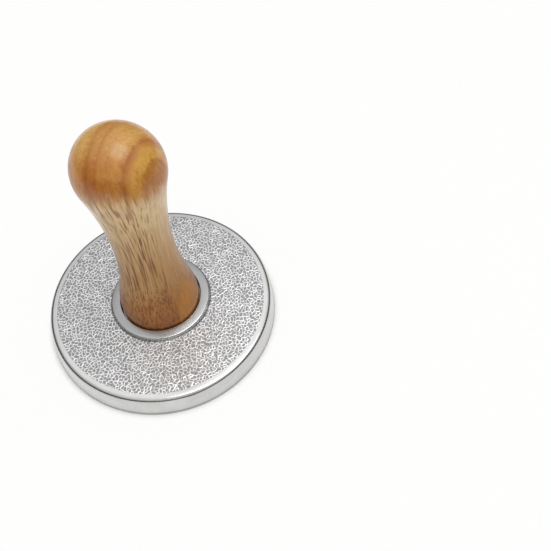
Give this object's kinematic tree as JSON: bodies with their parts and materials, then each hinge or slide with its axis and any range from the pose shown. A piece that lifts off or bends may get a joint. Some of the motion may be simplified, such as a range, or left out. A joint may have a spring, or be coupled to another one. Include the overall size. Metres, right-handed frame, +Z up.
{
  "type": "cookie stamp",
  "caption": "Hand cookie stamp with a round cast aluminium plate, swirl face, crackled back and a turned wooden knob handle that screws on",
  "frame": {"origin": "centre of the rim's flat face, on the plane it stands on", "axes": "+Z up along the handle's axis, -Y towards the viewer of the picture, +X to the right"},
  "size_m": [0.08, 0.08, 0.0865],
  "materials": {
    "cast_aluminium": "satin back, polished face",
    "steel": "bright zinc",
    "fibre": "matte",
    "brass": "turned",
    "lacquered_wood": "clear gloss lacquer"
  },
  "bodies": {
    "plate": {"stamp_plate": "cast_aluminium", "stud": "steel"},
    "washer": {"seat_washer": "fibre"},
    "handle": {"handle": "lacquered_wood", "threaded_insert": "brass"}
  },
  "joints": [
    {"name": "handle_turn", "type": "hinge", "parent": "plate", "child": "washer", "pos_m": [0, 0, 0.0074], "axis": [0, 0, 1], "range_deg": [0, 3060]},
    {"name": "handle_lift", "type": "slide", "parent": "washer", "child": "handle", "axis": [0, 0, 1], "range_m": [0, 0.0086]}
  ],
  "couplings": [
    {"joint": "handle_lift", "follows": "handle_turn", "m_per_rad": 0.00015915}
  ]
}
